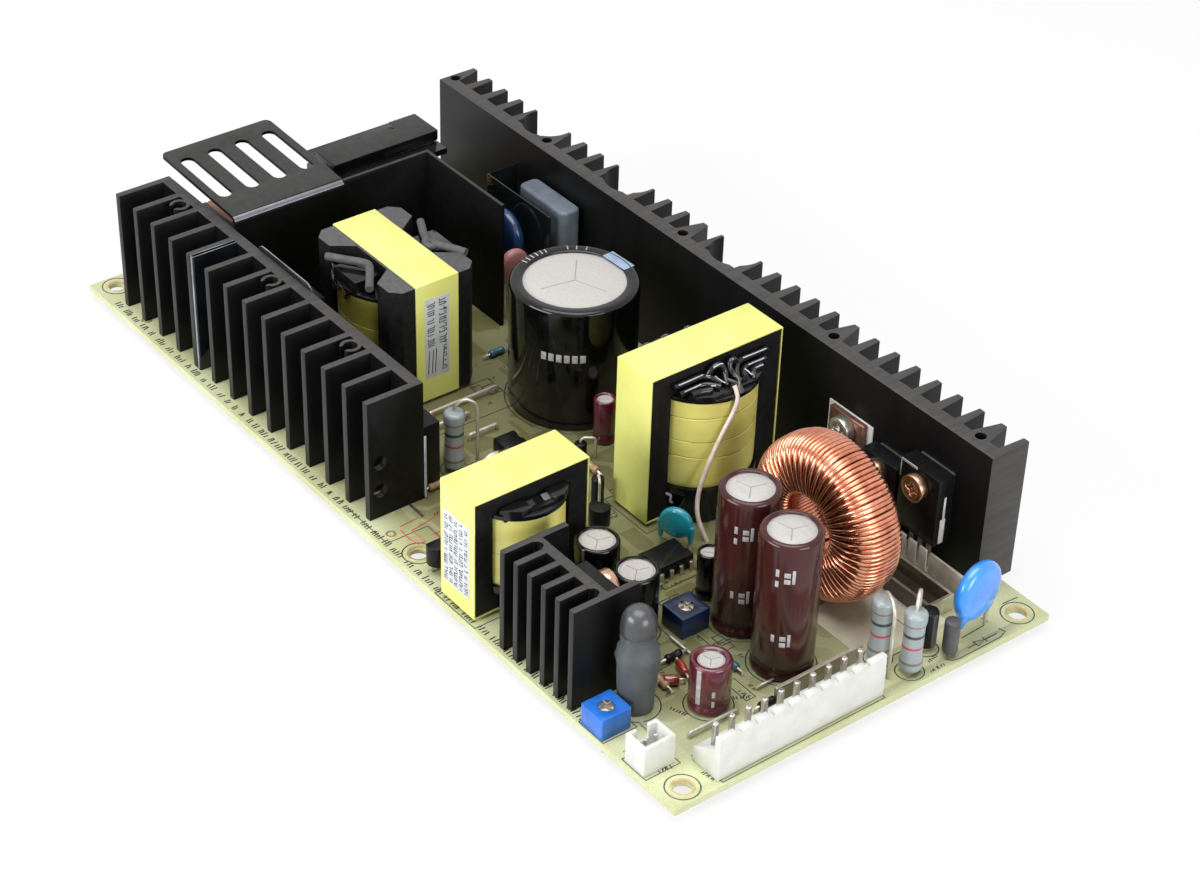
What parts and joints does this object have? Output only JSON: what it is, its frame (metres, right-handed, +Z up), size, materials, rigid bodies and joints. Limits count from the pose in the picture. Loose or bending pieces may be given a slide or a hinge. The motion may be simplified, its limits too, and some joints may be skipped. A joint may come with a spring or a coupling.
{
  "type": "open frame power supply",
  "caption": "Open frame switching power supply: a long printed board with black finned heat sinks, taped transformers, capacitors, a copper ring choke and board headers.",
  "frame": {"origin": "Centre of the rectangle of the four corner mounting holes, on the underside of the board.", "axes": "+X runs along the board to the output header end, +Y points to the long heat sink that overhangs the board edge, +Z points up from the board to the parts."},
  "size_m": [0.217, 0.0995, 0.0404],
  "materials": {
    "bobbin_black": "gloss",
    "ferrite": "matte",
    "yellow_tape": "satin",
    "winding_olive": "satin",
    "can_aluminium": "satin",
    "sleeve_black": "gloss",
    "tinned": "bright",
    "board": "satin",
    "epoxy_black": "satin",
    "winding_yellow": "satin",
    "film_clear_grey": "gloss",
    "screw_brass": "satin",
    "teal_coat": "gloss",
    "film_grey_blue": "satin",
    "solder": "bright",
    "pink_coat": "satin",
    "pad_grey": "matte",
    "screen_black": "satin",
    "black_anodised": "matte",
    "dark_blue_case": "satin",
    "box_blue_grey": "satin",
    "copper": "enamelled bright",
    "fuse_brown": "satin",
    "white_sleeve": "satin",
    "ivory_plastic": "satin",
    "sleeve_brown": "gloss",
    "resistor_grey": "satin",
    "sleeve_red": "gloss",
    "glass_red": "gloss",
    "blue_coat": "gloss",
    "navy_coat": "gloss",
    "blue_case": "satin",
    "shrink_grey": "gloss"
  },
  "bodies": {
    "supply": {"boost_choke_bobbin": "bobbin_black", "boost_choke_core": "ferrite", "boost_choke_tape": "yellow_tape", "boost_choke_winding": "winding_olive", "bulk_capacitor_can": "can_aluminium", "bulk_capacitor_sleeve": "sleeve_black", "bus_bars": "tinned", "circuit_board": "board", "control_capacitor_sleeves": "sleeve_black", "control_chip_legs": "tinned", "control_chips": "epoxy_black", "control_transformer_bobbin": "bobbin_black", "control_transformer_core": "ferrite", "control_transformer_tape": "yellow_tape", "control_transformer_winding": "winding_yellow", "device_back_sheet": "film_clear_grey", "device_screws": "screw_brass", "feedback_capacitor": "teal_coat", "filter_film_capacitor": "film_grey_blue", "fin_film": "film_clear_grey", "header_pins": "tinned", "input_solder_joints": "solder", "inrush_disc": "pink_coat", "insulating_film": "film_clear_grey", "insulating_pad": "pad_grey", "insulating_screen": "screen_black", "leads_and_jumpers": "tinned", "left_heat_sink": "black_anodised", "limit_trimmer_case": "dark_blue_case", "line_capacitor": "box_blue_grey", "line_filter_bobbin": "bobbin_black", "line_filter_windings": "copper", "line_fuse": "fuse_brown", "long_heat_sink": "black_anodised", "main_transformer_bobbin": "bobbin_black", "main_transformer_core": "ferrite", "main_transformer_fly_lead": "white_sleeve", "main_transformer_tape": "yellow_tape", "main_transformer_winding": "winding_yellow", "mains_header_housing": "ivory_plastic", "output_capacitor_sleeves": "sleeve_brown", "output_choke_core": "fuse_brown", "output_choke_winding": "copper", "output_header_housing": "ivory_plastic", "output_solder_joints": "solder", "power_device_packages": "epoxy_black", "power_device_tabs_and_legs": "tinned", "power_resistors": "resistor_grey", "red_capacitor_sleeves": "sleeve_red", "signal_header_housing": "ivory_plastic", "small_capacitor_cans": "can_aluminium", "small_glass_diodes": "glass_red", "small_heat_sink": "black_anodised", "snubber_capacitor": "blue_coat", "standing_diodes": "epoxy_black", "surge_discs": "navy_coat", "voltage_trimmer_case": "blue_case", "wrapped_choke": "shrink_grey"},
    "voltage_rotor": {"voltage_trimmer_rotor": "tinned"},
    "limit_rotor": {"limit_trimmer_rotor": "tinned"}
  },
  "joints": [
    {"name": "voltage_trim", "type": "hinge", "parent": "supply", "child": "voltage_rotor", "pos_m": [0.0828, -0.0441, 0.0066], "axis": [0, 0, 1], "range_deg": [-120, 120]},
    {"name": "limit_trim", "type": "hinge", "parent": "supply", "child": "limit_rotor", "pos_m": [0.0686, -0.0133, 0.0066], "axis": [0, 0, 1], "range_deg": [-120, 120]}
  ]
}
